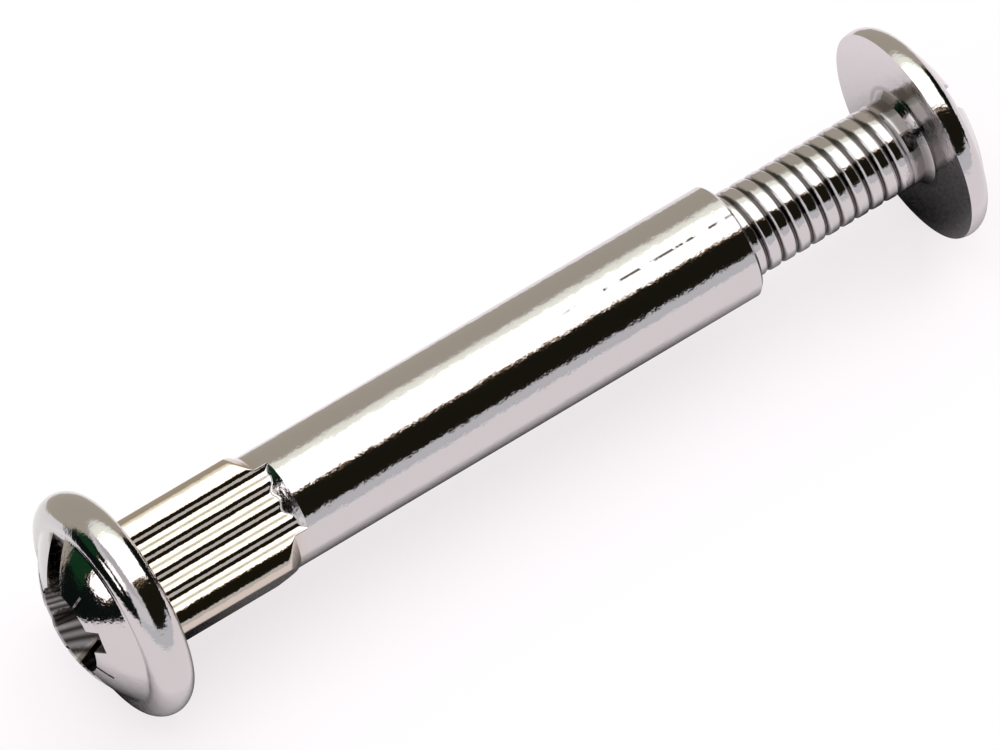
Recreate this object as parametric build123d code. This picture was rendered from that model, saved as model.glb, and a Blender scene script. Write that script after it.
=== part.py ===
from build123d import *
from math import acos, asin, atan, atan2, cos, degrees, hypot, pi, radians, sin, sqrt, tan
import os

# Binding barrel screw: a long barrel nut with a domed head, and the screw that threads into its mouth.
# Millimetres. The origin is the centre of the barrel's mouth, +X runs along the common axis
# towards the screw's head, and the barrel reaches back from the mouth to its own head at -X.

# Thread, right-handed, No. 8 with 32 turns to the inch. Solids carry it as a plain cylinder
# at its outer diameter.
thread_major_d = 4.166
thread_pitch = 25.4 / 32
running_clearance = 0.05  # radial gap between the screw's shank and the barrel's bore

# How far the screw stands out of the barrel as stored.
turns_to_close = 12  # turns left before its head meets the mouth
closing_gap = 0.025  # what is left between head and mouth after those turns

# Barrel
barrel_d = 5.556
barrel_length = 32.0  # from the seat of its head to its mouth
mouth_edge = 0.15  # chamfer round the outside of the mouth
drill_point_angle = 118.0  # included angle at the blind end of the bore
bore_end_web = 0.9  # solid metal between the drill point and the end of the ribbed neck

# Ribbed neck under the barrel's head: pressed oblong, with long round grooves in both wide sides
# that leave ribs between them
neck_width = 5.74
neck_thickness = 4.56  # from wide side to wide side, over the ribs
neck_length = 6.1  # from the seat to where its corners start to taper
neck_taper_length = 1.35  # from there to the barrel's own diameter
press_turn = 23.1  # degrees about +X, from +Z to the middle of the upper wide side
groove_count = 4
groove_pitch = 0.95
groove_depth = 0.155
shoulder_slope = 45.0  # degrees, where a wide side climbs to the barrel
shoulder_overrun = 0.4  # how far past the taper the wide sides reach the barrel's diameter

# Barrel's head: a rounded rim, and a dome that rises from a soft crease inside it
barrel_head_d = 11.0
barrel_head_height = 3.5
barrel_head_edge_height = 0.87  # of the widest point, above the seat
barrel_head_rim_radius = 1.05
barrel_head_dome_radius = 6.6
barrel_drive_turn = -36.0  # degrees about +X, from +Z to the long slot

# Screw
shank_length = 19.05  # from the seat of its head to its tip
tip_chamfer = 0.6
under_head_collar = 0.3  # cone at 45 degrees that joins the shank to the head
screw_head_d = 10.5
screw_head_height = 2.6
screw_head_edge_height = 0.35
screw_head_rim_radius = 0.92
screw_head_dome_radius = 8.1
screw_drive_turn = 20.0  # degrees about +X, from +Z to the long slot

crease_radius = 0.3  # in both heads, where the dome rises from the rim

# Drive recess, one size in both heads: a long slot across a deeper cross with a round middle,
# and four short marks
slot_reach = 8.5  # end to end, where it comes out of the dome
slot_width = 1.35
slot_depth = 1.55
slot_end_slope = 45.0  # degrees from the axis
cross_reach = 5.5
cross_width = 1.15
cross_depth = 2.3
middle_radius = 2.1  # of the round middle, where it comes out of the dome
middle_slope = 26.5
cross_end_slope = 30.0
drive_side_slope = 4.0  # degrees that the side walls lean, in the slot and in the cross
mark_inner_r = 2.0
mark_outer_r = 3.0
mark_width = 0.2
mark_depth = 0.12
cut_over = 0.3  # how far a cutter stands out of the metal that it cuts

# Worked out from the sizes above
barrel_r = barrel_d / 2
shank_r = thread_major_d / 2
bore_r = shank_r + running_clearance
mouth_countersink = under_head_collar  # lets the collar under the screw's head into the mouth
seat_x = -barrel_length
neck_end_x = seat_x + neck_length + neck_taper_length
screw_seat_x = turns_to_close * thread_pitch + closing_gap
shoulder_end_x = neck_end_x + shoulder_overrun
groove_span = groove_count * groove_pitch
neck_corner_r = (neck_width - groove_span) / 2  # the corners take what the grooves leave
neck_corner_reach = hypot(groove_span / 2, neck_thickness / 2 - neck_corner_r) + neck_corner_r


def head(head_d, height, edge_height, rim_radius, dome_radius):
    """Domed head standing on the YZ plane towards +X, turned from a rim, a crease and a dome."""
    rim_middle = Vector(edge_height, head_d / 2 - rim_radius)
    dome_middle = Vector(height - dome_radius, 0)
    apart = (rim_middle - dome_middle).length
    to_rim, to_crease = rim_radius + crease_radius, dome_radius + crease_radius
    turn = acos((apart**2 + to_crease**2 - to_rim**2) / (2 * apart * to_crease))
    dome_span = atan2(rim_middle.Y, rim_middle.X - dome_middle.X) - turn
    crease_middle = dome_middle + Vector(cos(dome_span), sin(dome_span)) * to_crease
    rim_end = atan2(crease_middle.Y - rim_middle.Y, crease_middle.X - rim_middle.X)
    rim_start = pi / 2 + asin(edge_height / rim_radius)
    seat = Line((0, 0), rim_middle + Vector(cos(rim_start), sin(rim_start)) * rim_radius)
    way = (sin(rim_start), -cos(rim_start))
    rim = JernArc(seat @ 1, way, rim_radius, degrees(rim_end - rim_start))
    crease = JernArc(rim @ 1, rim % 1, crease_radius, degrees(dome_span - rim_end))
    dome = JernArc(crease @ 1, crease % 1, dome_radius, -degrees(dome_span))
    return revolve(make_face([seat, rim, crease, dome, Line(dome @ 1, (0, 0))]), Axis.X)


def drop(dome_radius, from_axis):
    """How far a dome lies below its own top at this distance from its axis."""
    return dome_radius - sqrt(dome_radius**2 - from_axis**2)


def tapered_bar(reach, width, depth, end_slope, dome_radius):
    """Cutter for one bar of the recess, sunk from the top of a dome at the origin down to -depth."""
    lean = tan(radians(drive_side_slope))
    sections = []
    for height in (-depth, cut_over):
        length = reach + 2 * (height + drop(dome_radius, reach / 2)) * tan(radians(end_slope))
        sections.append(Pos(0, 0, height) * Rectangle(length, width + 2 * height * lean))
    return loft(sections, ruled=True)


def drive_recess(dome_radius):
    """Cutter for the whole recess, with its long slot along X and the top of the dome at the origin."""
    slot = tapered_bar(slot_reach, slot_width, slot_depth, slot_end_slope, dome_radius)
    arm = tapered_bar(cross_reach, cross_width, cross_depth, cross_end_slope, dome_radius)
    out_at = -drop(dome_radius, middle_radius)
    low_r, high_r = (middle_radius + (height - out_at) * tan(radians(middle_slope))
                     for height in (-cross_depth, cut_over))
    middle = Cone(low_r, high_r, cross_depth + cut_over, align=(Align.CENTER, Align.CENTER, Align.MIN))
    recess = slot + arm + Rot(0, 0, 90) * arm + Pos(0, 0, -cross_depth) * middle
    mark_lean = degrees(asin((mark_inner_r + mark_outer_r) / 2 / dome_radius))
    mark = Box(mark_outer_r - mark_inner_r, mark_width, 2 * mark_depth)
    mark = Pos(0, 0, -dome_radius) * Rot(0, mark_lean, 0) * Pos(0, 0, dome_radius) * mark
    for turn in (45, 135, 225, 315):
        recess += Rot(0, 0, turn) * mark
    return recess


def drive_plane(top_x, outwards, turn):
    """Plane on top of a head, its X along the long slot."""
    slot_way = (0, -sin(radians(turn)), cos(radians(turn)))
    return Plane(origin=(top_x, 0, 0), x_dir=slot_way, z_dir=(outwards, 0, 0))


def groove_wave():
    """Section line of one wide side from left to right: round grooves, and a rib between each two."""
    slope = 2 * atan(2 * groove_depth / groove_pitch)
    arc_r = groove_pitch / (4 * sin(slope))
    start = Vector(-groove_span / 2, neck_thickness / 2)
    way = Vector(1, 0)
    edges = []
    for _ in range(groove_count):
        for turn in (-1, 2, -1):
            edges.append(JernArc(start, way, arc_r, turn * degrees(slope)))
            start, way = edges[-1] @ 1, edges[-1] % 1
    return edges


def neck_section():
    """Oblong with round corners, and grooves in its two wide sides."""
    half = [*groove_wave()]
    half.append(JernArc(half[-1] @ 1, half[-1] % 1, neck_corner_r, -90))
    half.append(Line(half[-1] @ 1, half[-1] @ 1 - Vector(0, neck_thickness - 2 * neck_corner_r)))
    half.append(JernArc(half[-1] @ 1, half[-1] % 1, neck_corner_r, -90))
    lower = [Rot(0, 0, 180) * edge for edge in half]
    return make_face([*half, *lower])


def neck():
    """Ribbed neck from the seat to the barrel, its corners tapering down to the barrel's diameter."""
    bar = extrude(Plane.YZ.offset(seat_x) * Rot(0, 0, press_turn) * neck_section(),
                  shoulder_end_x - seat_x)
    taper_x = seat_x + neck_length
    outside = Polyline((seat_x, 0), (seat_x, neck_corner_reach), (taper_x, neck_corner_reach),
                       (neck_end_x, barrel_r), (shoulder_end_x, barrel_r), (shoulder_end_x, 0),
                       (seat_x, 0))
    return bar & revolve(make_face(outside), Axis.X)


def barrel_tube():
    """Plain round barrel, from its sloping shoulder in the neck to the chamfered mouth."""
    core_r = 0.9 * (neck_thickness / 2 - groove_depth)
    core_x = shoulder_end_x - (barrel_r - core_r) / tan(radians(shoulder_slope))
    outline = Polyline((core_x, 0), (core_x, core_r), (shoulder_end_x, barrel_r),
                       (-mouth_edge, barrel_r), (0, barrel_r - mouth_edge), (0, 0), (core_x, 0))
    return revolve(make_face(outline), Axis.X)


def bore():
    """Blind tapped bore: countersunk mouth, plain wall, drill point that stops short of the neck."""
    point_length = bore_r / tan(radians(drill_point_angle / 2))
    point_x = shoulder_end_x + bore_end_web
    outline = Polyline((cut_over, 0), (cut_over, bore_r + mouth_countersink),
                       (0, bore_r + mouth_countersink), (-mouth_countersink, bore_r),
                       (point_x + point_length, bore_r), (point_x, 0), (cut_over, 0))
    return revolve(make_face(outline), Axis.X)


def barrel_nut():
    top = drive_plane(seat_x - barrel_head_height, -1, barrel_drive_turn)
    dome = head(barrel_head_d, barrel_head_height, barrel_head_edge_height, barrel_head_rim_radius,
                barrel_head_dome_radius)
    body = Pos(seat_x, 0, 0) * Rot(0, 180, 0) * dome + neck() + barrel_tube()
    return body - bore() - top * drive_recess(barrel_head_dome_radius)


def shank():
    """Threaded shank with its chamfered tip and the collar that joins it to the head."""
    tip_x = screw_seat_x - shank_length
    collar_x = screw_seat_x - under_head_collar
    outline = Polyline((screw_seat_x, 0), (tip_x, 0), (tip_x, shank_r - tip_chamfer),
                       (tip_x + tip_chamfer, shank_r), (collar_x, shank_r),
                       (screw_seat_x, shank_r + under_head_collar), (screw_seat_x, 0))
    return revolve(make_face(outline), Axis.X)


def screw():
    top = drive_plane(screw_seat_x + screw_head_height, 1, screw_drive_turn)
    dome = head(screw_head_d, screw_head_height, screw_head_edge_height, screw_head_rim_radius,
                screw_head_dome_radius)
    return Pos(screw_seat_x, 0, 0) * dome + shank() - top * drive_recess(screw_head_dome_radius)


os.makedirs("parts", exist_ok=True)
for node, part in {"barrel_nut": barrel_nut(), "screw": screw()}.items():
    export_step(part, f"parts/{node}.step")
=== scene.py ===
"""Looks of a binding barrel screw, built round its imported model: the barrel nut, the screw and the stage."""

from functools import reduce
from math import acos, asin, atan2, ceil, cos, hypot, pi, radians, sin, sqrt, tan

import bmesh
import bpy
from mathutils import Matrix, Vector


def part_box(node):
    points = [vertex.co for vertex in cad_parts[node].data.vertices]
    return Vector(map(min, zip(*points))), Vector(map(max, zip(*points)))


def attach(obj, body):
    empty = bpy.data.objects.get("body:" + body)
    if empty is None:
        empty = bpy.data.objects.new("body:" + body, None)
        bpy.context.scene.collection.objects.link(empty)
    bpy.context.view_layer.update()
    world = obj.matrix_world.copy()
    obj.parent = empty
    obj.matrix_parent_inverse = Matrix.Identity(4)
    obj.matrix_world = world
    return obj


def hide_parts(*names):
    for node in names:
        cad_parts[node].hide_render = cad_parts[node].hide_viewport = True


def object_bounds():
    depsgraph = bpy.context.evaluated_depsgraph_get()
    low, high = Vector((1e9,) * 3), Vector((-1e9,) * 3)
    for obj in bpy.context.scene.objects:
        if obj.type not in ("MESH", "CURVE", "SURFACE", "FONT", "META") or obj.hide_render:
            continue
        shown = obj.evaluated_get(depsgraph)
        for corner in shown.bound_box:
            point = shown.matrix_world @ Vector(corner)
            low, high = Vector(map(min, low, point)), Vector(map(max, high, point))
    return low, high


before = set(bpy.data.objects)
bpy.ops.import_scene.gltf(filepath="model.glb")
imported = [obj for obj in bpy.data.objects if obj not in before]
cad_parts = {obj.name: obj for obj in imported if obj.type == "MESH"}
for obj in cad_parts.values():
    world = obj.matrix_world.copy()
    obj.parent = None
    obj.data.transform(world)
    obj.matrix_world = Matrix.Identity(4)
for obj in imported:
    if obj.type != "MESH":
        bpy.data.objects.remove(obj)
cad_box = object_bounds()

bl_info = {
    "name": "Binding barrel screw",
    "version": (1, 0, 0),
    "blender": (4, 5, 0),
    "location": "View3D > Sidebar > Barrel Screw",
    "description": "Makes a nickel-plated barrel nut and its screw, "
                   "with true threads, ribs and drive recesses",
    "category": "Object",
}

MM = 0.001
BARREL_LOW, BARREL_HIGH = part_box("barrel_nut")
SCREW_LOW, SCREW_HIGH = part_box("screw")
WELD = 0.5e-6  # vertices closer than this are one
CUT_OVER = 0.3 * MM  # how far a cutter stands out of the metal that it cuts
ABRUPT = 1e-6  # length over which a thread starts or ends at full depth
NO_CONE = 1.0  # radius of a cone that leaves the thread whole
BORE_ROWS = 10  # faces along one pitch of the bore, of which little is seen
BORE_LEAD = 1.5 * MM  # plain bore between the drill point and its thread


def length(default, name, description):
    """A length property, its default in millimetres."""
    return bpy.props.FloatProperty(name=name, description=description, default=default * MM,
                                   min=0.0, precision=6, subtype="DISTANCE", unit="LENGTH")


def angle(default, name, description):
    """An angle property, its default in degrees."""
    return bpy.props.FloatProperty(name=name, description=description, default=radians(default),
                                   subtype="ANGLE", unit="ROTATION")


def number(default, name, description, kind=bpy.props.FloatProperty):
    return kind(name=name, description=description, default=default)


def colour(default, name, description):
    return bpy.props.FloatVectorProperty(name=name, description=description, default=default,
                                         subtype="COLOR", size=3, min=0.0, max=1.0)


class BarrelSizes(bpy.types.PropertyGroup):
    """Sizes of the barrel nut, from its seat to its mouth."""

    radius: length(2.778, "Radius", "Outer radius of the plain barrel")
    length: length(32.0, "Length", "From the seat of the head to the mouth")
    mouth_edge: length(0.15, "Mouth Edge", "Chamfer round the outside of the mouth")
    mouth_radius: length(2.433, "Mouth Radius", "Radius of the countersink at the mouth")
    bore_end: length(23.25, "Bore End", "Depth of the drill point below the mouth")
    bore_point: length(1.05, "Bore Point", "Length of the drill point")
    head_height: length(3.5, "Head Height", "From the seat to the top of the dome")
    head_edge: length(0.87, "Edge Height", "From the seat to the head's widest point")
    head_rim: length(1.05, "Rim Radius", "Round of the rim")
    head_crease: length(0.3, "Crease Radius", "Round where the dome rises from the rim")
    head_dome: length(6.6, "Dome Radius", "Round of the dome")
    drive_turn: angle(-36.0, "Drive Turn", "Turn of the long slot from upright, about the axis")
    around: number(512, "Around", "Faces round the outside", bpy.props.IntProperty)


class NeckSizes(bpy.types.PropertyGroup):
    """Sizes of the ribbed neck under the barrel's head."""

    width: length(5.74, "Width", "Across the wide way")
    thickness: length(4.56, "Thickness", "From wide side to wide side, over the ribs")
    corner_depth: length(0.68, "Corner Depth", "Depth of the rounding beside the grooves")
    length: length(6.2, "Length", "From the seat to the start of the corners' taper")
    taper: length(0.95, "Taper", "Length of the taper down to the barrel")
    overrun: length(0.7, "Overrun", "From the taper's end to where the wide sides meet the barrel")
    turn: angle(21.5, "Press Turn", "Turn of the wide sides from upright, about the axis")
    groove_count: number(4, "Grooves", "Grooves in each wide side", bpy.props.IntProperty)
    groove_pitch: length(0.95, "Groove Pitch", "From one groove to the next")
    groove_depth: length(0.16, "Groove Depth", "Depth of a groove below the ribs beside it")
    end_round: length(0.10, "End Round", "Softness where the grooves run out into the barrel")


class ScrewSizes(bpy.types.PropertyGroup):
    """Sizes of the screw."""

    shank: length(19.05, "Shank", "From the seat of the head to the tip")
    tip_chamfer: length(0.6, "Tip Chamfer", "Chamfer at the tip")
    collar: length(0.3, "Collar", "Cone that joins the shank to the head")
    head_height: length(2.6, "Head Height", "From the seat to the top of the dome")
    head_edge: length(0.35, "Edge Height", "From the seat to the head's widest point")
    head_rim: length(0.92, "Rim Radius", "Round of the rim")
    head_crease: length(0.3, "Crease Radius", "Round where the dome rises from the rim")
    head_dome: length(8.1, "Dome Radius", "Round of the dome")
    drive_turn: angle(20.0, "Drive Turn", "Turn of the long slot from upright, about the axis")
    around: number(256, "Around", "Faces round the head", bpy.props.IntProperty)


class ThreadSizes(bpy.types.PropertyGroup):
    """Sizes of the right-handed thread on the screw and in the barrel."""

    pitch: length(25.4 / 32, "Pitch", "From one crest to the next")
    radius: length(2.083, "Radius", "Outer radius of the screw's crests")
    flank: angle(55.0, "Flank", "Slope of the flanks from the axis")
    crest_cut: length(0.36, "Crest Cut", "How far the crests stop short of a sharp V")
    crest_round: length(0.16, "Crest Round", "Softness of the crests")
    depth: length(0.22, "Depth", "Depth of the groove")
    root_round: length(0.08, "Root Round", "Softness of the roots")
    plain: length(0.45, "Plain", "Plain length between the thread and the collar")
    run_out: length(0.4, "Run Out", "Length over which the thread fades out under the head")
    clearance: length(0.05, "Clearance", "Gap between the two threads")
    bore_radius: length(1.90, "Bore Radius", "Radius of the barrel's thread at its crests")
    around: number(128, "Around", "Faces round a thread", bpy.props.IntProperty)
    rows: number(16, "Rows", "Faces along one pitch", bpy.props.IntProperty)


class DriveSizes(bpy.types.PropertyGroup):
    """Sizes of the recess in both heads: a slot across a cross, with four short marks."""

    slot_reach: length(8.5, "Slot Reach", "Length of the slot where it leaves the dome")
    slot_width: length(1.35, "Slot Width", "Width of the slot at the top")
    slot_depth: length(1.55, "Slot Depth", "Depth of the slot below the top of the dome")
    slot_end: angle(45.0, "Slot End", "Slope of the slot's ends from the axis")
    cross_reach: length(5.5, "Cross Reach", "Length of the cross where it leaves the dome")
    cross_width: length(1.15, "Cross Width", "Width of the cross at the top")
    cross_depth: length(2.3, "Cross Depth", "Depth of the cross below the top of the dome")
    cross_end: angle(30.0, "Cross End", "Slope of the cross's ends from the axis")
    middle_radius: length(2.1, "Middle Radius", "Radius of the round middle where it leaves the dome")
    middle_slope: angle(26.5, "Middle Slope", "Slope of the round middle from the axis")
    lean: angle(4.0, "Side Lean", "Lean of the side walls")
    mark_inner: length(2.0, "Mark Inner", "Radius at which a mark starts")
    mark_outer: length(3.0, "Mark Outer", "Radius at which a mark ends")
    mark_width: length(0.2, "Mark Width", "Width of a mark")
    mark_depth: length(0.12, "Mark Depth", "Depth of a mark")


class NickelLook(bpy.types.PropertyGroup):
    """Finish of the plating, and the painted warm reflection and painted shade laid over it."""

    tint: colour((0.60, 0.565, 0.57), "Tint", "Colour of the polished nickel")
    roughness: number(0.07, "Roughness", "Roughness of the polished nickel")
    # Painted warm reflection and shade: a warmer, darker colour laid over the whole grooved neck
    painted_warm_reflection: colour((0.60, 0.51, 0.426), "Painted Warm Reflection", "Colour of the plating on the grooved neck")
    # Painted shade in the recesses, the thread's roots and under the screw's head; also the colour of the
    # scuffs near the mouth
    scuff_and_painted_shade: colour((0.04, 0.033, 0.027), "Scuff And Painted Shade", "Colour in the recess and the grooves")
    ripple: number(0.5, "Ripple", "Strength of the plating's fine ripple")
    ripple_height: length(0.032, "Ripple Height", "Height of the plating's fine ripple")


# Meshes


def join_rings(bm, first, second):
    """Faces between two rings of vertices; one may have a whole number of times as many as the other."""
    few, many = sorted((first, second), key=len)
    step = len(many) // len(few)
    for i in range(len(few)):
        j = (i + 1) % len(few)
        fan = [many[(i * step + k) % len(many)] for k in range(step + 1)]
        bm.faces.new([few[j], few[i]] + fan)


def lathe(bm, profile):
    """Turns a profile of (x, radius, vertices in the ring) about X. A radius of 0 is a pole."""
    last = None
    for x, radius, count in profile:
        if radius > 0:
            turns = (2 * pi * k / count for k in range(count))
            ring = [bm.verts.new((x, radius * cos(a), radius * sin(a))) for a in turns]
        else:
            ring = [bm.verts.new((x, 0, 0))]
        if last and len(ring) == 1:
            for i, v in enumerate(last):
                bm.faces.new((v, last[(i + 1) % len(last)], ring[0]))
        elif last and len(last) == 1:
            for i, v in enumerate(ring):
                bm.faces.new((v, ring[(i + 1) % len(ring)], last[0]))
        elif last:
            join_rings(bm, last, ring)
        last = ring


def between(start, end, count):
    """Evenly spaced values after start, up to end."""
    return [start + (end - start) * i / count for i in range(1, count + 1)]


def head_profile(radius, sizes):
    """(height above the seat, radius) from the seat's outer edge to the top: rim, crease and dome."""
    rim, crease, dome = sizes.head_rim, sizes.head_crease, sizes.head_dome
    rim_x, rim_y = sizes.head_edge, radius - rim
    dome_x = sizes.head_height - dome
    apart = hypot(rim_x - dome_x, rim_y)
    to_rim, to_crease = rim + crease, dome + crease
    turn = acos((apart**2 + to_crease**2 - to_rim**2) / (2 * apart * to_crease))
    dome_span = atan2(rim_y, rim_x - dome_x) - turn
    crease_x, crease_y = dome_x + to_crease * cos(dome_span), to_crease * sin(dome_span)
    rim_end = atan2(crease_y - rim_y, crease_x - rim_x)
    rim_start = pi / 2 + asin(sizes.head_edge / rim)
    points = []
    for a in [rim_start, *between(rim_start, rim_end, 32)]:
        points.append((rim_x + rim * cos(a), rim_y + rim * sin(a)))
    for a in between(rim_end + pi, dome_span + pi, 8):
        points.append((crease_x + crease * cos(a), crease_y + crease * sin(a)))
    for a in between(dome_span, 0, 36):
        points.append((dome_x + dome * cos(a), dome * sin(a)))
    points[-1] = (sizes.head_height, 0)
    return points


def linked(name, mesh):
    """A new object in the scene that holds the mesh."""
    made = bpy.data.objects.new(name, mesh)
    bpy.context.scene.collection.objects.link(made)
    return made


def finished(bm, name):
    """A mesh object of the welded mesh, its faces turned outwards."""
    bmesh.ops.remove_doubles(bm, verts=bm.verts, dist=WELD)
    bmesh.ops.recalc_face_normals(bm, faces=bm.faces)
    mesh = bpy.data.meshes.new(name)
    bm.to_mesh(mesh)
    bm.free()
    return linked(name, mesh)


def bar_cutter(bm, reach, width, depth, end_slope, lean, dome_r, turn):
    """Adds one tapered bar of the recess, in a frame with the dome's top at the origin and Z outwards."""
    dome_drop = dome_r - sqrt(dome_r**2 - (reach / 2) ** 2)
    loops = []
    for height in (-depth, CUT_OVER):
        half_long = reach / 2 + (height + dome_drop) * tan(end_slope)
        half_wide = width / 2 + height * tan(lean)
        corners = [(-1, -1), (1, -1), (1, 1), (-1, 1)]
        loops.append([(i * half_long, j * half_wide, height) for i, j in corners])
    turned = Matrix.Rotation(turn, 3, "Z")
    low, high = ([bm.verts.new(turned @ Vector(p)) for p in loop] for loop in loops)
    bm.faces.new(low[::-1])
    bm.faces.new(high)
    for i in range(4):
        bm.faces.new((low[i], low[(i + 1) % 4], high[(i + 1) % 4], high[i]))


def middle_cutter(bm, sizes, dome_r):
    """Adds the cone in the middle of the recess, in the same frame."""
    out_at = sqrt(dome_r**2 - sizes.middle_radius**2) - dome_r
    radii = [sizes.middle_radius + (height - out_at) * tan(sizes.middle_slope)
             for height in (-sizes.cross_depth, CUT_OVER)]
    bmesh.ops.create_cone(bm, cap_ends=True, segments=96, radius1=radii[0], radius2=radii[1],
                          depth=sizes.cross_depth + CUT_OVER)
    bmesh.ops.translate(bm, verts=bm.verts, vec=(0, 0, (CUT_OVER - sizes.cross_depth) / 2))


def mark_cutter(bm, sizes, dome_r, turn):
    """Adds one of the short marks between the arms, in the same frame."""
    middle = (sizes.mark_inner + sizes.mark_outer) / 2
    size = (sizes.mark_outer - sizes.mark_inner, sizes.mark_width, 2 * sizes.mark_depth)
    lean = asin(middle / dome_r)
    place = (Matrix.Rotation(turn, 4, "Z") @ Matrix.Translation((0, 0, -dome_r))
             @ Matrix.Rotation(lean, 4, "Y") @ Matrix.Translation((0, 0, dome_r))
             @ Matrix.Diagonal((*size, 1)))
    bmesh.ops.create_cube(bm, size=1.0, matrix=place)


def drive_cutters(sizes, dome_r, place):
    """Cutters for the recess, each an object of its own, put on a head by the matrix place."""
    slot = (sizes.slot_reach, sizes.slot_width, sizes.slot_depth, sizes.slot_end)
    cross = (sizes.cross_reach, sizes.cross_width, sizes.cross_depth, sizes.cross_end)
    bars = ((slot, 0), (cross, 0), (cross, pi / 2))
    shapes = [(bar_cutter, (*bar, sizes.lean, dome_r, turn)) for bar, turn in bars]
    shapes.append((middle_cutter, (sizes, dome_r)))
    shapes += [(mark_cutter, (sizes, dome_r, radians(45 + 90 * corner))) for corner in range(4)]
    cutters = []
    for shape, values in shapes:
        bm = bmesh.new()
        shape(bm, *values)
        bmesh.ops.transform(bm, matrix=place, verts=bm.verts)
        cutters.append(finished(bm, "cutter"))
    return cutters


def drive_place(top_x, outwards, turn):
    """Matrix from the recess's own frame to the top of a head, its X along the long slot."""
    z_axis = Vector((outwards, 0, 0))
    x_axis = Vector((0, -sin(turn), cos(turn)))
    y_axis = z_axis.cross(x_axis)
    rotation = Matrix((x_axis, y_axis, z_axis)).transposed().to_4x4()
    return Matrix.Translation((top_x, 0, 0)) @ rotation


def baked(obj):
    """The object's evaluated mesh as a plain mesh object, with nothing live left on it."""
    name = obj.name
    graph = bpy.context.evaluated_depsgraph_get()
    mesh = bpy.data.meshes.new_from_object(obj.evaluated_get(graph))
    bpy.data.objects.remove(obj)
    mesh.name = name
    return linked(name, mesh)


def cut(obj, cutters):
    """Takes the cutters away from the object."""
    for cutter in cutters:
        modifier = obj.modifiers.new("cut", "BOOLEAN")
        modifier.operation = "DIFFERENCE"
        modifier.solver = "EXACT"
        modifier.object = cutter
    made = baked(obj)
    for cutter in cutters:
        bpy.data.objects.remove(cutter)
    return made


def smooth_by_angle(obj, limit=radians(28)):
    """Smooth faces, with edges sharper than the limit kept crisp."""
    mesh = obj.data
    for polygon in mesh.polygons:
        polygon.use_smooth = True
    mesh.set_sharp_from_angle(angle=limit)


# Geometry nodes


class Maths:
    """Adds Math nodes to a tree, one for each step of a formula."""

    def __init__(self, tree):
        self.tree = tree

    def __call__(self, operation, *values):
        node = self.tree.nodes.new("ShaderNodeMath")
        node.operation = operation
        for socket, value in zip(node.inputs, values):
            if isinstance(value, bpy.types.NodeSocket):
                self.tree.links.new(value, socket)
            else:
                socket.default_value = value
        return node.outputs[0]

    def hypot(self, first, second):
        """The long side of a right angle with these two sides."""
        squares = [self("MULTIPLY", side, side) for side in (first, second)]
        return self("SQRT", self("ADD", *squares))


def parts(tree, vector):
    """The X, Y and Z of a vector."""
    split = tree.nodes.new("ShaderNodeSeparateXYZ")
    tree.links.new(vector, split.inputs[0])
    return split.outputs


def vector_maths(tree, operation, vector, output):
    """Adds a Vector Math node behind vector. Returns the node and the output with that name."""
    node = tree.nodes.new("ShaderNodeVectorMath")
    node.operation = operation
    tree.links.new(vector, node.inputs[0])
    return node, node.outputs[output]


def new_tree(name, inputs, takes_geometry):
    """A geometry node tree with named inputs. Returns it, its input sockets by name and a Maths for it."""
    tree = bpy.data.node_groups.new(name, "GeometryNodeTree")
    if takes_geometry:
        tree.interface.new_socket("Geometry", in_out="INPUT", socket_type="NodeSocketGeometry")
    for label, kind in inputs.items():
        tree.interface.new_socket(label, in_out="INPUT", socket_type="NodeSocket" + kind)
    tree.interface.new_socket("Geometry", in_out="OUTPUT", socket_type="NodeSocketGeometry")
    group = tree.nodes.new("NodeGroupInput")
    return tree, {s.name: s for s in group.outputs if s.name}, Maths(tree)


def end_tree(tree, geometry, material):
    """Ends the tree in Realize Instances and Set Material."""
    realize = tree.nodes.new("GeometryNodeRealizeInstances")
    paint = tree.nodes.new("GeometryNodeSetMaterial")
    output = tree.nodes.new("NodeGroupOutput")
    tree.links.new(geometry, realize.inputs["Geometry"])
    tree.links.new(realize.outputs["Geometry"], paint.inputs["Geometry"])
    tree.links.new(material, paint.inputs["Material"])
    tree.links.new(paint.outputs["Geometry"], output.inputs["Geometry"])


def run_tree(tree, obj, values):
    """The mesh object that the tree makes from obj with these inputs."""
    modifier = obj.modifiers.new(tree.name, "NODES")
    modifier.node_group = tree
    for item in tree.interface.items_tree:
        if item.in_out == "INPUT" and item.name in values:
            modifier[item.identifier] = values[item.name]
    return baked(obj)


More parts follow.
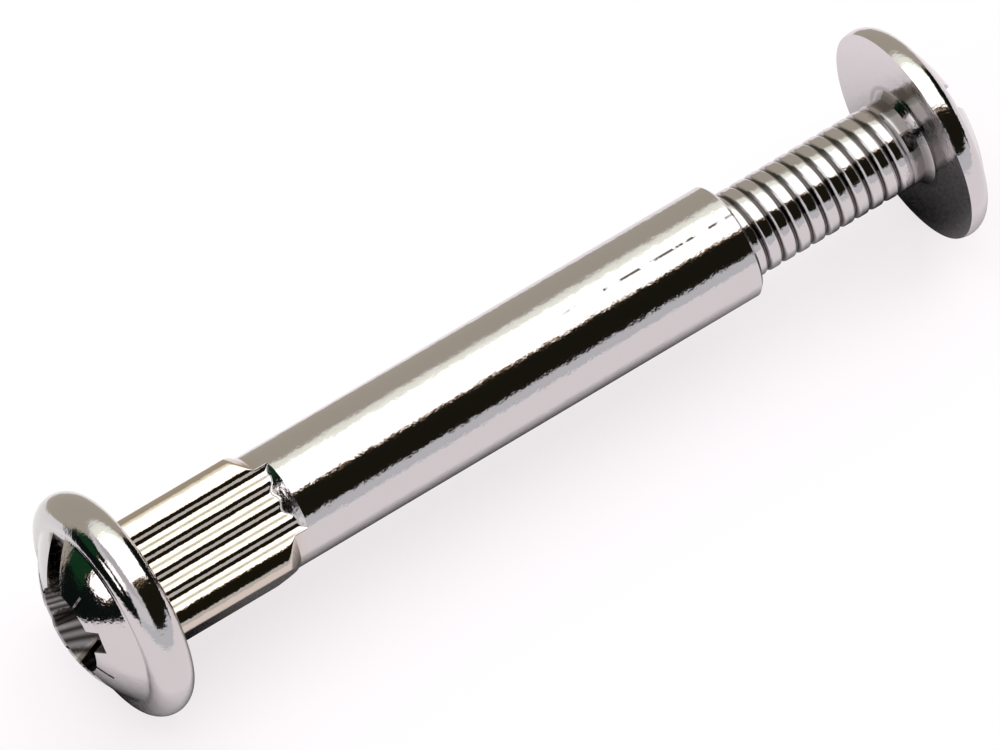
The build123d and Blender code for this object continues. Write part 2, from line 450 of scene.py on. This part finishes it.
def thread_tree():
    """Tube about X with a helical groove, as a fine grid rolled up so that its rows follow the helix."""
    floats = ("Start", "End", "Pitch", "Radius", "Flank", "Crest Cut", "Crest Round", "Depth",
              "Root Round", "Run Out", "Run In", "Least Radius", "Start Cone")
    inputs = {**dict.fromkeys(floats, "Float"), **dict.fromkeys(("Turns", "Rows", "Around"), "Int"),
              "Material": "Material"}
    tree, given, m = new_tree("helical_thread", inputs, False)
    grid = tree.nodes.new("GeometryNodeMeshGrid")
    tree.links.new(m("ADD", m("MULTIPLY", given["Turns"], given["Rows"]), 1.0), grid.inputs["Vertices X"])
    tree.links.new(m("ADD", given["Around"], 1.0), grid.inputs["Vertices Y"])
    grid_x, grid_y, _ = parts(tree, tree.nodes.new("GeometryNodeInputPosition").outputs[0])
    along = m("MULTIPLY", m("ADD", grid_x, 0.5), given["Turns"])
    round_it = m("ADD", grid_y, 0.5)
    turn = m("MULTIPLY", round_it, 2 * pi)
    turns_in = m("SUBTRACT", m("ADD", along, round_it), 1.0)
    raw_x = m("ADD", given["Start"], m("MULTIPLY", turns_in, given["Pitch"]))
    x = m("MINIMUM", m("MAXIMUM", raw_x, given["Start"]), given["End"])
    helix = m("SUBTRACT", raw_x, m("MULTIPLY", round_it, given["Pitch"]))
    off_crest = m("PINGPONG", helix, m("MULTIPLY", given["Pitch"], 0.5))
    flank = m("SUBTRACT", m("MULTIPLY", off_crest, m("TANGENT", given["Flank"])), given["Crest Cut"])
    groove = m("SMOOTH_MAX", flank, 0.0, given["Crest Round"])
    groove = m("SMOOTH_MIN", groove, given["Depth"], given["Root Round"])
    to_end = m("DIVIDE", m("SUBTRACT", given["End"], x), given["Run Out"])
    groove = m("MULTIPLY", groove, m("MINIMUM", to_end, 1.0))
    to_start = m("DIVIDE", m("SUBTRACT", x, given["Start"]), given["Run In"])
    sunk = m("MULTIPLY", m("SUBTRACT", 1.0, m("MINIMUM", to_start, 1.0)),
             m("SUBTRACT", given["Radius"], given["Least Radius"]))
    radius = m("SUBTRACT", m("SUBTRACT", given["Radius"], groove), sunk)
    radius = m("MAXIMUM", radius, given["Least Radius"])
    radius = m("MINIMUM", radius, m("ADD", given["Start Cone"], m("SUBTRACT", x, given["Start"])))
    place = tree.nodes.new("ShaderNodeCombineXYZ")
    tree.links.new(x, place.inputs["X"])
    tree.links.new(m("MULTIPLY", radius, m("COSINE", turn)), place.inputs["Y"])
    tree.links.new(m("MULTIPLY", radius, m("SINE", turn)), place.inputs["Z"])
    roll = tree.nodes.new("GeometryNodeSetPosition")
    tree.links.new(grid.outputs["Mesh"], roll.inputs["Geometry"])
    tree.links.new(place.outputs[0], roll.inputs["Position"])
    weld = tree.nodes.new("GeometryNodeMergeByDistance")
    weld.inputs["Distance"].default_value = WELD
    tree.links.new(roll.outputs["Geometry"], weld.inputs["Geometry"])
    end_tree(tree, weld.outputs["Geometry"], given["Material"])
    return tree


def press_tree():
    """Presses the round neck to a grooved oblong, sharing its points evenly round the new outline."""
    floats = ("Start", "Taper Start", "Taper End", "End", "Turn", "Half Flat", "Half Thickness", "Corner",
              "Corner Depth", "Groove Pitch", "Groove Depth", "Barrel Radius", "End Round")
    inputs = {**dict.fromkeys(floats, "Float"), "Material": "Material"}
    tree, given, m = new_tree("pressed_neck", inputs, True)
    x, y, z = parts(tree, tree.nodes.new("GeometryNodeInputPosition").outputs[0])
    c, s = m("COSINE", given["Turn"]), m("SINE", given["Turn"])
    across = m("ADD", m("MULTIPLY", y, c), m("MULTIPLY", z, s))
    up = m("SUBTRACT", m("MULTIPLY", z, c), m("MULTIPLY", y, s))
    flat, corner = given["Half Flat"], given["Corner"]
    corner_depth = given["Corner Depth"]
    side = m("SUBTRACT", given["Half Thickness"], corner_depth)
    bend = m("MULTIPLY", m("ADD", corner, corner_depth), pi / 4)
    quarter_way = m("ADD", m("ADD", flat, bend), side)
    off_top = m("ARCTAN2", m("ABSOLUTE", across), m("ABSOLUTE", up))
    way = m("MULTIPLY", off_top, m("DIVIDE", quarter_way, pi / 2))
    bent = m("MULTIPLY", m("DIVIDE", m("SUBTRACT", way, flat), bend), pi / 2)
    bent = m("MINIMUM", m("MAXIMUM", bent, 0.0), pi / 2)
    down = m("MAXIMUM", m("SUBTRACT", m("SUBTRACT", way, flat), bend), 0.0)
    out = m("ADD", m("MINIMUM", way, flat), m("MULTIPLY", corner, m("SINE", bent)))
    high = m("ADD", side, m("MULTIPLY", corner_depth, m("COSINE", bent)))
    high = m("SUBTRACT", high, down)
    depth, pitch = given["Groove Depth"], given["Groove Pitch"]
    quarter = m("MULTIPLY", pitch, 0.25)
    slope = m("MULTIPLY", m("ARCTANGENT", m("DIVIDE", m("MULTIPLY", depth, 2.0), pitch)), 2.0)
    arc = m("DIVIDE", quarter, m("SINE", slope))
    off_rib = m("PINGPONG", way, m("MULTIPLY", pitch, 0.5))
    off_nearest = m("PINGPONG", off_rib, quarter)
    squares = m("SUBTRACT", m("MULTIPLY", arc, arc), m("MULTIPLY", off_nearest, off_nearest))
    bulge = m("SUBTRACT", arc, m("SQRT", squares))
    in_groove = m("GREATER_THAN", off_rib, quarter)
    sunk = m("ADD", m("MULTIPLY", in_groove, m("SUBTRACT", depth, bulge)),
             m("MULTIPLY", m("SUBTRACT", 1.0, in_groove), bulge))
    high = m("SUBTRACT", high, m("MULTIPLY", sunk, m("LESS_THAN", way, flat)))
    reach = m.hypot(out, high)
    corner_reach = m("ADD", m.hypot(flat, side), corner)
    taper = m("DIVIDE", m("SUBTRACT", given["Taper End"], x),
              m("SUBTRACT", given["Taper End"], given["Taper Start"]))
    past_barrel = m("SUBTRACT", corner_reach, given["Barrel Radius"])
    most = m("ADD", given["Barrel Radius"], m("MULTIPLY", m("MAXIMUM", taper, 0.0), past_barrel))
    least = m("SUBTRACT", given["Barrel Radius"], m("SUBTRACT", given["End"], x))
    radius = m("SMOOTH_MIN", reach, most, given["End Round"])
    radius = m("MINIMUM", m("SMOOTH_MAX", radius, least, given["End Round"]), most)
    share = m("DIVIDE", radius, reach)
    out = m("MULTIPLY", m("MULTIPLY", out, share), m("SIGN", across))
    high = m("MULTIPLY", m("MULTIPLY", high, share), m("SIGN", up))
    place = tree.nodes.new("ShaderNodeCombineXYZ")
    tree.links.new(x, place.inputs["X"])
    tree.links.new(m("SUBTRACT", m("MULTIPLY", out, c), m("MULTIPLY", high, s)), place.inputs["Y"])
    tree.links.new(m("ADD", m("MULTIPLY", out, s), m("MULTIPLY", high, c)), place.inputs["Z"])
    press = tree.nodes.new("GeometryNodeSetPosition")
    on_neck = m("MULTIPLY", m("GREATER_THAN", x, m("SUBTRACT", given["Start"], WELD)),
                m("LESS_THAN", x, given["End"]))
    off_axis = m.hypot(y, z)
    on_barrel = m("COMPARE", off_axis, given["Barrel Radius"], 0.1 * MM)
    tree.links.new(m("MULTIPLY", on_neck, on_barrel), press.inputs["Selection"])
    tree.links.new(next(n for n in tree.nodes if n.type == "GROUP_INPUT").outputs["Geometry"],
                   press.inputs["Geometry"])
    tree.links.new(place.outputs[0], press.inputs["Position"])
    end_tree(tree, press.outputs["Geometry"], given["Material"])
    return tree


def thread(name, material, start, end, values):
    """The helical thread between two places on the axis, as a mesh object."""
    sizes = bpy.context.scene.thread_sizes
    inputs = {"Start": start, "End": end, "Pitch": sizes.pitch, "Radius": sizes.radius,
              "Flank": sizes.flank, "Crest Cut": sizes.crest_cut, "Crest Round": sizes.crest_round,
              "Depth": sizes.depth, "Root Round": sizes.root_round, "Run Out": ABRUPT, "Run In": ABRUPT,
              "Least Radius": 0.0, "Start Cone": NO_CONE,
              "Turns": ceil((end - start) / sizes.pitch) + 1, "Rows": sizes.rows,
              "Around": sizes.around, "Material": material}
    carrier = linked(name, bpy.data.meshes.new(name))
    tree = bpy.data.node_groups.get("helical_thread") or thread_tree()
    return run_tree(tree, carrier, {**inputs, **values})


def add_mesh(bm, obj):
    """Takes the object's mesh into bm and deletes the object."""
    bm.from_mesh(obj.data)
    bpy.data.objects.remove(obj)


# Materials


def band(tree, value, low, high, soft):
    """1 where value is between low and high, falling to 0 over soft on either side of each limit."""
    m = Maths(tree)
    up = tree.nodes.new("ShaderNodeMapRange")
    down = tree.nodes.new("ShaderNodeMapRange")
    for node, start, end in ((up, low - soft, low + soft), (down, high + soft, high - soft)):
        node.interpolation_type = "SMOOTHSTEP"
        node.inputs["From Min"].default_value = start
        node.inputs["From Max"].default_value = end
        tree.links.new(value, node.inputs["Value"])
    return m("MULTIPLY", up.outputs["Result"], down.outputs["Result"])


def over(tree, under, mask, top):
    """Colour top laid over colour under where the mask is 1."""
    mix = tree.nodes.new("ShaderNodeMix")
    mix.data_type = "RGBA"
    factor, first, second = (s for s in mix.inputs if s.enabled)
    tree.links.new(mask, factor)
    if isinstance(under, bpy.types.NodeSocket):
        tree.links.new(under, first)
    else:
        first.default_value = (*under, 1.0)
    second.default_value = (*top, 1.0)
    return next(s for s in mix.outputs if s.enabled)


def grain(tree, place, scale, detail=2.0):
    """A noise value that is the same for the same place on the part."""
    noise = tree.nodes.new("ShaderNodeTexNoise")
    noise.inputs["Scale"].default_value = scale
    noise.inputs["Detail"].default_value = detail
    tree.links.new(place, noise.inputs["Vector"])
    return noise.outputs["Fac"]


def nickel(name, look):
    """Bright nickel plate with a fine ripple. Returns the material, its tree, shader and place sockets."""
    material = bpy.data.materials.new(name)
    material.use_nodes = True
    tree = material.node_tree
    m = Maths(tree)
    shader = next(n for n in tree.nodes if n.type == "BSDF_PRINCIPLED")
    shader.inputs["Metallic"].default_value = 1.0
    shader.inputs["Roughness"].default_value = look.roughness
    place = tree.nodes.new("ShaderNodeTexCoord").outputs["Object"]
    coarse, fine = grain(tree, place, 1800.0), grain(tree, place, 9000.0)
    bump = tree.nodes.new("ShaderNodeBump")
    bump.inputs["Strength"].default_value = look.ripple
    bump.inputs["Distance"].default_value = look.ripple_height
    tree.links.new(m("ADD", coarse, m("MULTIPLY", fine, 0.3)), bump.inputs["Height"])
    tree.links.new(bump.outputs["Normal"], shader.inputs["Normal"])
    return material, tree, shader, place


def paint_recess_shade(tree, place, under, look, top_x, outwards, dome_r):
    """Lays painted shade over the colour under, well below the dome, in lines as the punch leaves them."""
    m = Maths(tree)
    shift, shifted = vector_maths(tree, "SUBTRACT", place, "Vector")
    shift.inputs[1].default_value = (top_x - outwards * dome_r, 0, 0)
    _, off_middle = vector_maths(tree, "LENGTH", shifted, "Value")
    x, y, z = parts(tree, place)
    below = band(tree, off_middle, -1, dome_r - 0.09 * MM, 0.05 * MM)
    depth = m("MULTIPLY", m("SUBTRACT", top_x, x), outwards)
    off_axis = m.hypot(y, z)
    near = m("MULTIPLY", band(tree, depth, -1, 2.5 * MM, 0.02 * MM),
             band(tree, off_axis, -1, 4.3 * MM, 0.05 * MM))
    line_pitch = 0.42 * MM
    lines = m("SINE", m("MULTIPLY", m("ADD", m("MULTIPLY", y, 0.6), z), 2 * pi / line_pitch))
    amount = m("ADD", 0.76, m("MULTIPLY", lines, 0.22))
    return over(tree, under, m("MULTIPLY", m("MULTIPLY", below, near), amount), tuple(look.scuff_and_painted_shade))


def barrel_nickel(look, barrel, neck):
    """The barrel's plating: a painted warm reflection and shade on the grooved neck, painted shade in the
    recess, scuffed near the mouth.
    """
    material, tree, shader, place = nickel("barrel_nickel", look)
    m = Maths(tree)
    x, y, z = parts(tree, place)
    neck_end = neck.length + neck.taper + neck.overrun - barrel.length
    # Painted warm reflection and shade, laid over the grooved neck
    on_neck = m("MULTIPLY", band(tree, x, -barrel.length, neck_end - 0.6 * MM, 0.5 * MM), 0.8)
    tint = over(tree, tuple(look.tint), on_neck, tuple(look.painted_warm_reflection))
    # Scuffs in a thin line along the top, near the mouth
    lean = m("ARCTAN2", m("MULTIPLY", y, -1.0), z)
    broken = m("MULTIPLY", band(tree, grain(tree, place, 1800.0, 4.0), 0.46, 2, 0.05),
               band(tree, x, -9 * MM, 0.0, 1 * MM))
    scuff = m("MULTIPLY", band(tree, lean, radians(6.4), radians(9.0), radians(1.0)), broken)
    tint = over(tree, tint, scuff, tuple(look.scuff_and_painted_shade))
    top_x = -barrel.length - barrel.head_height
    # Painted shade in the recess
    tint = paint_recess_shade(tree, place, tint, look, top_x, -1, barrel.head_dome)
    tree.links.new(tint, shader.inputs["Base Color"])
    return material


def screw_nickel(look, screw, threads, seat):
    """The screw's plating, with painted shade in the thread's grooves, under the head and in the recess."""
    material, tree, shader, place = nickel("screw_nickel", look)
    m = Maths(tree)
    x, y, z = parts(tree, place)
    off_axis = m.hypot(y, z)
    # Painted shade in the roots of the thread
    groove = band(tree, off_axis, -1, threads.radius - threads.depth * 0.42, threads.depth * 0.3)
    on_shank = band(tree, x, -1, seat - 0.3 * MM, 0.05 * MM)
    in_groove = m("MULTIPLY", m("MULTIPLY", groove, on_shank), 0.88)
    tint = over(tree, tuple(look.tint), in_groove, tuple(look.scuff_and_painted_shade))
    # Painted shade in the corner under the head
    corner = m("MULTIPLY", band(tree, x, seat - 0.9 * MM, seat - 0.01 * MM, 0.25 * MM),
               band(tree, off_axis, -1, threads.radius + 0.5 * MM, 0.1 * MM))
    tint = over(tree, tint, m("MULTIPLY", corner, 0.7), tuple(look.scuff_and_painted_shade))
    # Painted shade in the recess
    tint = paint_recess_shade(tree, place, tint, look, seat + screw.head_height, 1, screw.head_dome)
    tree.links.new(tint, shader.inputs["Base Color"])
    return material


# Operators


class OBJECT_OT_make_barrel_nut(bpy.types.Operator):
    """Make the barrel nut: domed head with its recess, ribbed neck, plain barrel and tapped bore"""

    bl_idname = "object.make_barrel_nut"
    bl_label = "Make Barrel Nut"

    def execute(self, context):
        scene = context.scene
        barrel, neck, threads = scene.barrel_sizes, scene.neck_sizes, scene.thread_sizes
        screw = scene.screw_sizes
        material = barrel_nickel(scene.nickel_look, barrel, neck)
        seat = -barrel.length
        taper_start = seat + neck.length
        neck_end = taper_start + neck.taper + neck.overrun
        head_r = min(BARREL_HIGH.y, BARREL_HIGH.z)
        bm = bmesh.new()
        n = barrel.around
        mouth_r = barrel.radius - barrel.mouth_edge
        # The plain part under the screw's head closes into a mouth without thread
        relief = -screw.collar - threads.plain
        clear_r = threads.radius + threads.clearance
        profile = [(x, clear_r, threads.around) for x in (relief, -screw.collar)]
        profile += [(0, barrel.mouth_radius, threads.around), (0, mouth_r, n),
                    (-barrel.mouth_edge, barrel.radius, n)]
        # The rings stand closest where the neck's sides rise to the barrel
        ways = ((-barrel.mouth_edge, neck_end, 12), (neck_end, taper_start, 44), (taper_start, seat, 6))
        profile += [(x, barrel.radius, n) for way in ways for x in between(*way)]
        profile += [(seat - u, r, n) for u, r in head_profile(head_r, barrel)]
        lathe(bm, profile)
        bore_start = -barrel.bore_end + barrel.bore_point
        tapped = bore_start + BORE_LEAD
        plain_bore = ((-barrel.bore_end, 0), (bore_start, threads.bore_radius), (tapped, threads.bore_radius))
        lathe(bm, [(x, r, threads.around) for x, r in plain_bore])
        values = {"Radius": clear_r, "Least Radius": threads.bore_radius, "Run In": threads.pitch,
                  "Run Out": threads.run_out, "Rows": BORE_ROWS}
        add_mesh(bm, thread("bore_thread", material, tapped, relief, values))
        body = finished(bm, "barrel_nut_body")
        half_flat = neck.groove_count * neck.groove_pitch / 2
        values = {"Start": seat, "Taper Start": taper_start, "Taper End": taper_start + neck.taper,
                  "End": neck_end, "Turn": neck.turn, "Half Flat": half_flat,
                  "Half Thickness": neck.thickness / 2, "Corner": neck.width / 2 - half_flat,
                  "Corner Depth": neck.corner_depth, "Groove Pitch": neck.groove_pitch,
                  "Groove Depth": neck.groove_depth, "Barrel Radius": barrel.radius,
                  "End Round": neck.end_round, "Material": material}
        body = run_tree(press_tree(), body, values)
        place = drive_place(seat - barrel.head_height, -1, barrel.drive_turn)
        body = cut(body, drive_cutters(scene.drive_sizes, barrel.head_dome, place))
        smooth_by_angle(body)
        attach(body, "barrel")
        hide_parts("barrel_nut")
        return {"FINISHED"}


class OBJECT_OT_make_screw(bpy.types.Operator):
    """Make the screw: domed head with its recess, and the threaded shank"""

    bl_idname = "object.make_screw"
    bl_label = "Make Screw"

    def execute(self, context):
        scene = context.scene
        sizes, threads = scene.screw_sizes, scene.thread_sizes
        seat = SCREW_LOW.x + sizes.shank
        material = screw_nickel(scene.nickel_look, sizes, threads, seat)
        head_r = min(SCREW_HIGH.y, SCREW_HIGH.z)
        tip, n = SCREW_LOW.x, sizes.around
        bm = bmesh.new()
        few = threads.around
        tip_r = threads.radius - sizes.tip_chamfer
        lathe(bm, [(tip, 0, few), (tip, tip_r, few)])
        shank_end = seat - sizes.collar
        thread_end = shank_end - threads.plain
        profile = [(x, threads.radius, few) for x in (thread_end, shank_end)]
        profile.append((seat, threads.radius + sizes.collar, few))
        profile += [(seat + u, r, n) for u, r in head_profile(head_r, sizes)]
        lathe(bm, profile)
        values = {"Start Cone": tip_r, "Run Out": threads.run_out, "Material": material}
        add_mesh(bm, thread("shank_thread", material, tip, thread_end, values))
        body = finished(bm, "screw_body")
        body.data.materials.append(material)
        place = drive_place(seat + sizes.head_height, 1, sizes.drive_turn)
        body = cut(body, drive_cutters(scene.drive_sizes, sizes.head_dome, place))
        smooth_by_angle(body)
        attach(body, "screw")
        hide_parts("screw")
        return {"FINISHED"}


def add_camera(scene):
    """Long-lens camera, looking down on the part from the side of the barrel's head."""
    azimuth, elevation, distance = radians(-34.8), radians(58.2), 0.65
    back = Vector((sin(azimuth) * cos(elevation), -cos(azimuth) * cos(elevation), sin(elevation)))
    middle = (cad_box[0] + cad_box[1]) / 2
    camera = bpy.data.objects.new("camera", bpy.data.cameras.new("camera"))
    camera.data.lens = 531
    camera.data.shift_x, camera.data.shift_y = -0.0128, -0.0071
    camera.data.clip_start, camera.data.clip_end = 0.01, 10
    camera.location = middle + back * distance
    camera.rotation_mode = "QUATERNION"
    camera.rotation_quaternion = (-back).to_track_quat("-Z", "Y")
    scene.collection.objects.link(camera)
    scene.camera = camera


def mirrored(m, path):
    """1 for a ray that reaches the background by way of metal or glass."""
    return m("MAXIMUM", path.outputs["Is Glossy Ray"], path.outputs["Is Transmission Ray"])


def add_studio(scene):
    """World light: an overhead softbox along the part, with a dark gap on the camera's side of it.

    The background is white to the camera, and also in metal and glass, where no part of the studio
    stands in front of it.
    """
    world = bpy.data.worlds.new("studio")
    scene.world = world
    world.use_nodes = True
    tree = world.node_tree
    m = Maths(tree)
    x, y, z = parts(tree, tree.nodes.new("ShaderNodeTexCoord").outputs["Generated"])
    # Degrees from straight up towards the camera's side, and degrees round from the barrel's head
    lean = m("MULTIPLY", m("ARCTAN2", m("MULTIPLY", y, -1.0), z), 180 / pi)
    bearing = m("MULTIPLY", m("ARCTAN2", y, m("MULTIPLY", x, -1.0)), 180 / pi)
    across = m("DIVIDE", m("SUBTRACT", bearing, 12), 10)
    above = m("DIVIDE", m("SUBTRACT", z, 0.07), 0.1)
    off_lamp = m.hypot(across, above)
    path = tree.nodes.new("ShaderNodeLightPath")

    def patch(*limits):
        """1 inside all of the limits, each a value with its low end, its high end and their softness."""
        return reduce(lambda a, b: m("MULTIPLY", a, b), [band(tree, *limit) for limit in limits])

    card, white = (0.523, 0.487, 0.408), (1, 1, 1)
    near_wall = patch((lean, 67, 185, 1.5))
    ceiling = patch((lean, -52, 68, 1))
    above_head = patch((z, 0.62, 1.2, 0.06), (x, -1.2, -0.45, 0.05))
    below = m("MULTIPLY", mirrored(m, path), patch((z, -2, 0, 0.01)))
    far_card = patch((lean, -125, -52, 1.5))
    haze = patch((lean, -49, 20, 9), (x, -0.45, 0.86, 0.04))
    softbox = patch((lean, -34.5, 20, 4), (x, -0.45, 0.86, 0.04))
    far_end = patch((x, 0.87, 1.2, 0.02), (y, -0.9, 0.42, 0.04), (z, -0.17, 0.6, 0.03))
    fringe = patch((lean, 19.5, 24, 1), (x, -0.36, 0.86, 0.06))
    gap = patch((lean, 22, 70, 1.5), (x, -0.36, 1.2, 0.06))
    room = patch((z, -0.75, 0.42, 0.04), (bearing, -19, 44, 3))
    panel = patch((z, -0.2, 0.3, 0.05), (bearing, 24, 44, 4))
    window = patch((z, 0.32, 0.6, 0.03), (bearing, -9, 16, 3))
    halo, lamp = patch((off_lamp, -1, 1.1, 0.1)), patch((off_lamp, -1, 0.93, 0.1))
    layers = ((near_wall, (0.727, 0.749, 0.777)), (ceiling, (0.88, 0.885, 0.895)),
              (above_head, (0.66, 0.65, 0.67)), (below, white), (far_card, card),
              (haze, (1.27, 1.33, 1.16)), (softbox, (2.25, 2.3, 2.25)),
              (far_end, (0.006, 0.009, 0.006)), (fringe, (0.453, 0.274, 0.132)),
              (gap, (0.013, 0.012, 0.007)), (room, (0.005, 0.008, 0.007)),
              (panel, (0.008, 0.048, 0.018)), (window, (2, 2, 2)),
              (halo, (0.4, 0.233, 0.118)), (lamp, (2.4, 2.4, 2.4)))
    light = card
    for mask, shine in layers:
        light = over(tree, light, mask, shine)
    background = tree.nodes["Background"]
    tree.links.new(light, background.inputs["Color"])
    plain = tree.nodes.new("ShaderNodeBackground")
    plain.inputs["Color"].default_value = (*white, 1)
    choose = tree.nodes.new("ShaderNodeMixShader")
    tree.links.new(path.outputs["Is Camera Ray"], choose.inputs["Fac"])
    tree.links.new(background.outputs[0], choose.inputs[1])
    tree.links.new(plain.outputs[0], choose.inputs[2])
    output = next(n for n in tree.nodes if n.type == "OUTPUT_WORLD")
    tree.links.new(choose.outputs[0], output.inputs["Surface"])


def add_floor():
    """Pale sheet under the part, white to the camera and in metal and glass apart from its shadow."""
    low = min(BARREL_LOW.z, SCREW_LOW.z) - 0.01 * MM
    reach = 500 * MM
    left, right = BARREL_LOW.x - 120 * MM, SCREW_HIGH.x + reach
    near, far = BARREL_LOW.y - reach, BARREL_HIGH.y + 13 * MM
    # The far edge runs aslant past the barrel's head
    far_left, bend = BARREL_HIGH.y - 34.5 * MM, BARREL_LOW.x + 38 * MM
    bm = bmesh.new()
    bm.faces.new([bm.verts.new(p) for p in ((left, near, low), (right, near, low), (right, far, low),
                                            (bend, far, low), (left, far_left, low))])
    floor = finished(bm, "floor")
    material = bpy.data.materials.new("floor_paper")
    material.use_nodes = True
    tree = material.node_tree
    tree.nodes.clear()
    diffuse = tree.nodes.new("ShaderNodeBsdfDiffuse")
    glow = tree.nodes.new("ShaderNodeEmission")
    glow.inputs["Color"].default_value = (1, 0.965, 0.985, 1)
    path = tree.nodes.new("ShaderNodeLightPath")
    m = Maths(tree)
    open_sky = tree.nodes.new("ShaderNodeAmbientOcclusion")
    open_sky.samples = 8
    open_sky.inputs["Distance"].default_value = 6 * MM
    shade_gain, glow_level = 2.3, 0.74
    paper, in_shade = (0.28, 0.262, 0.275), (0.01, 0.01, 0.012)
    shade = m("MINIMUM", m("MULTIPLY", m("SUBTRACT", 1.0, open_sky.outputs["AO"]), shade_gain), 1.0)
    shade = m("MULTIPLY", shade, m("SUBTRACT", 1.0, path.outputs["Is Camera Ray"]))
    shown = m("MAXIMUM", path.outputs["Is Camera Ray"], mirrored(m, path))
    tree.links.new(over(tree, paper, shade, in_shade), diffuse.inputs["Color"])
    glow_strength = m("MULTIPLY", shown, m("MULTIPLY", m("SUBTRACT", 1.0, shade), glow_level))
    tree.links.new(glow_strength, glow.inputs["Strength"])
    total = tree.nodes.new("ShaderNodeAddShader")
    tree.links.new(diffuse.outputs[0], total.inputs[0])
    tree.links.new(glow.outputs[0], total.inputs[1])
    output = tree.nodes.new("ShaderNodeOutputMaterial")
    tree.links.new(total.outputs[0], output.inputs["Surface"])
    floor.data.materials.append(material)


class SCENE_OT_make_stage(bpy.types.Operator):
    """Make the pale floor, the studio light and the camera"""

    bl_idname = "scene.make_stage"
    bl_label = "Make Stage"

    def execute(self, context):
        scene = context.scene
        add_camera(scene)
        add_studio(scene)
        add_floor()
        scene.view_settings.view_transform = "Standard"
        return {"FINISHED"}


class VIEW3D_PT_barrel_screw(bpy.types.Panel):
    """Buttons that make the parts"""

    bl_label = "Binding Barrel Screw"
    bl_space_type = "VIEW_3D"
    bl_region_type = "UI"
    bl_category = "Barrel Screw"

    def draw(self, context):
        for operator in OPERATORS:
            self.layout.operator(operator.bl_idname)
        for group in GROUPS:
            box = self.layout.box()
            box.label(text=group)
            for name in GROUPS[group].__annotations__:
                box.prop(getattr(context.scene, group), name)


OPERATORS = (OBJECT_OT_make_barrel_nut, OBJECT_OT_make_screw, SCENE_OT_make_stage)
GROUPS = {"barrel_sizes": BarrelSizes, "neck_sizes": NeckSizes, "screw_sizes": ScrewSizes,
          "thread_sizes": ThreadSizes, "drive_sizes": DriveSizes, "nickel_look": NickelLook}


def register():
    for cls in (*GROUPS.values(), *OPERATORS, VIEW3D_PT_barrel_screw):
        bpy.utils.register_class(cls)
    for name, cls in GROUPS.items():
        setattr(bpy.types.Scene, name, bpy.props.PointerProperty(type=cls))


def unregister():
    for name in GROUPS:
        delattr(bpy.types.Scene, name)
    for cls in (VIEW3D_PT_barrel_screw, *OPERATORS, *GROUPS.values()):
        bpy.utils.unregister_class(cls)


def main():
    register()
    bpy.ops.object.make_barrel_nut()
    bpy.ops.object.make_screw()
    bpy.ops.scene.make_stage()


if __name__ == "__main__":
    main()
